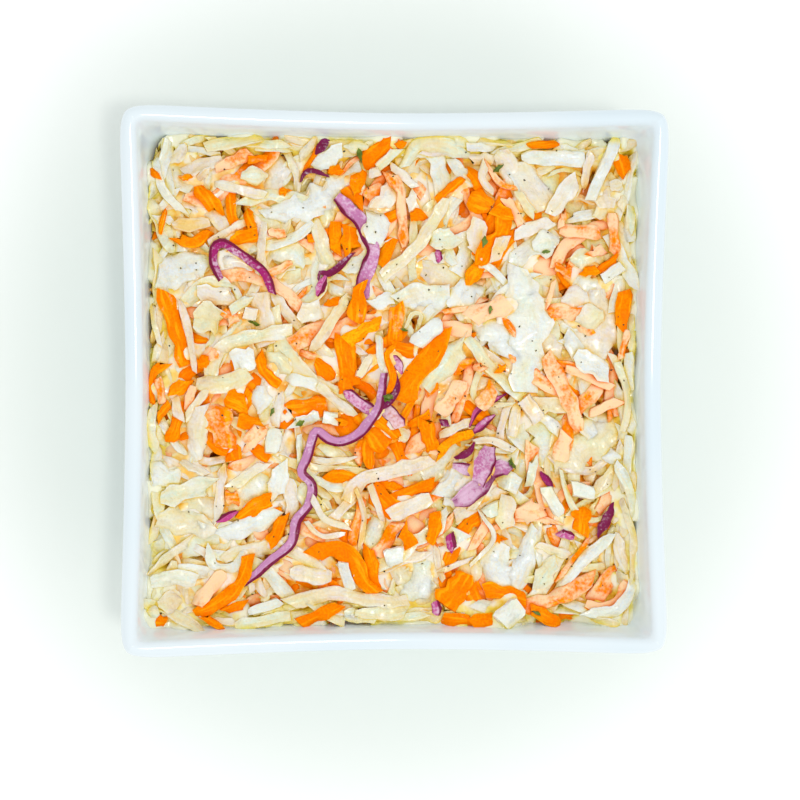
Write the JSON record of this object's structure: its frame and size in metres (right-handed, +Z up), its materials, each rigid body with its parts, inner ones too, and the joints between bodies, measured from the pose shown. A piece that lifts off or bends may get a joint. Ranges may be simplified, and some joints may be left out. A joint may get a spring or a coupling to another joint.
{
  "type": "coleslaw in a square bowl",
  "caption": "Square white porcelain bowl with raised, flared corners and a round lip, filled to just under the rim with shredded cabbage and carrot slaw in a creamy dressing.",
  "frame": {"origin": "middle of the foot, on the surface that the bowl stands on", "axes": "+Z up, X and Y square to the bowl's sides"},
  "size_m": [0.1592, 0.1592, 0.0626],
  "materials": {
    "porcelain": "smooth white glaze",
    "slaw": "moist raw cabbage and carrot shreds coated with a creamy dressing"
  },
  "bodies": {
    "root": {"bowl": "porcelain", "coleslaw": "slaw"}
  },
  "joints": []
}
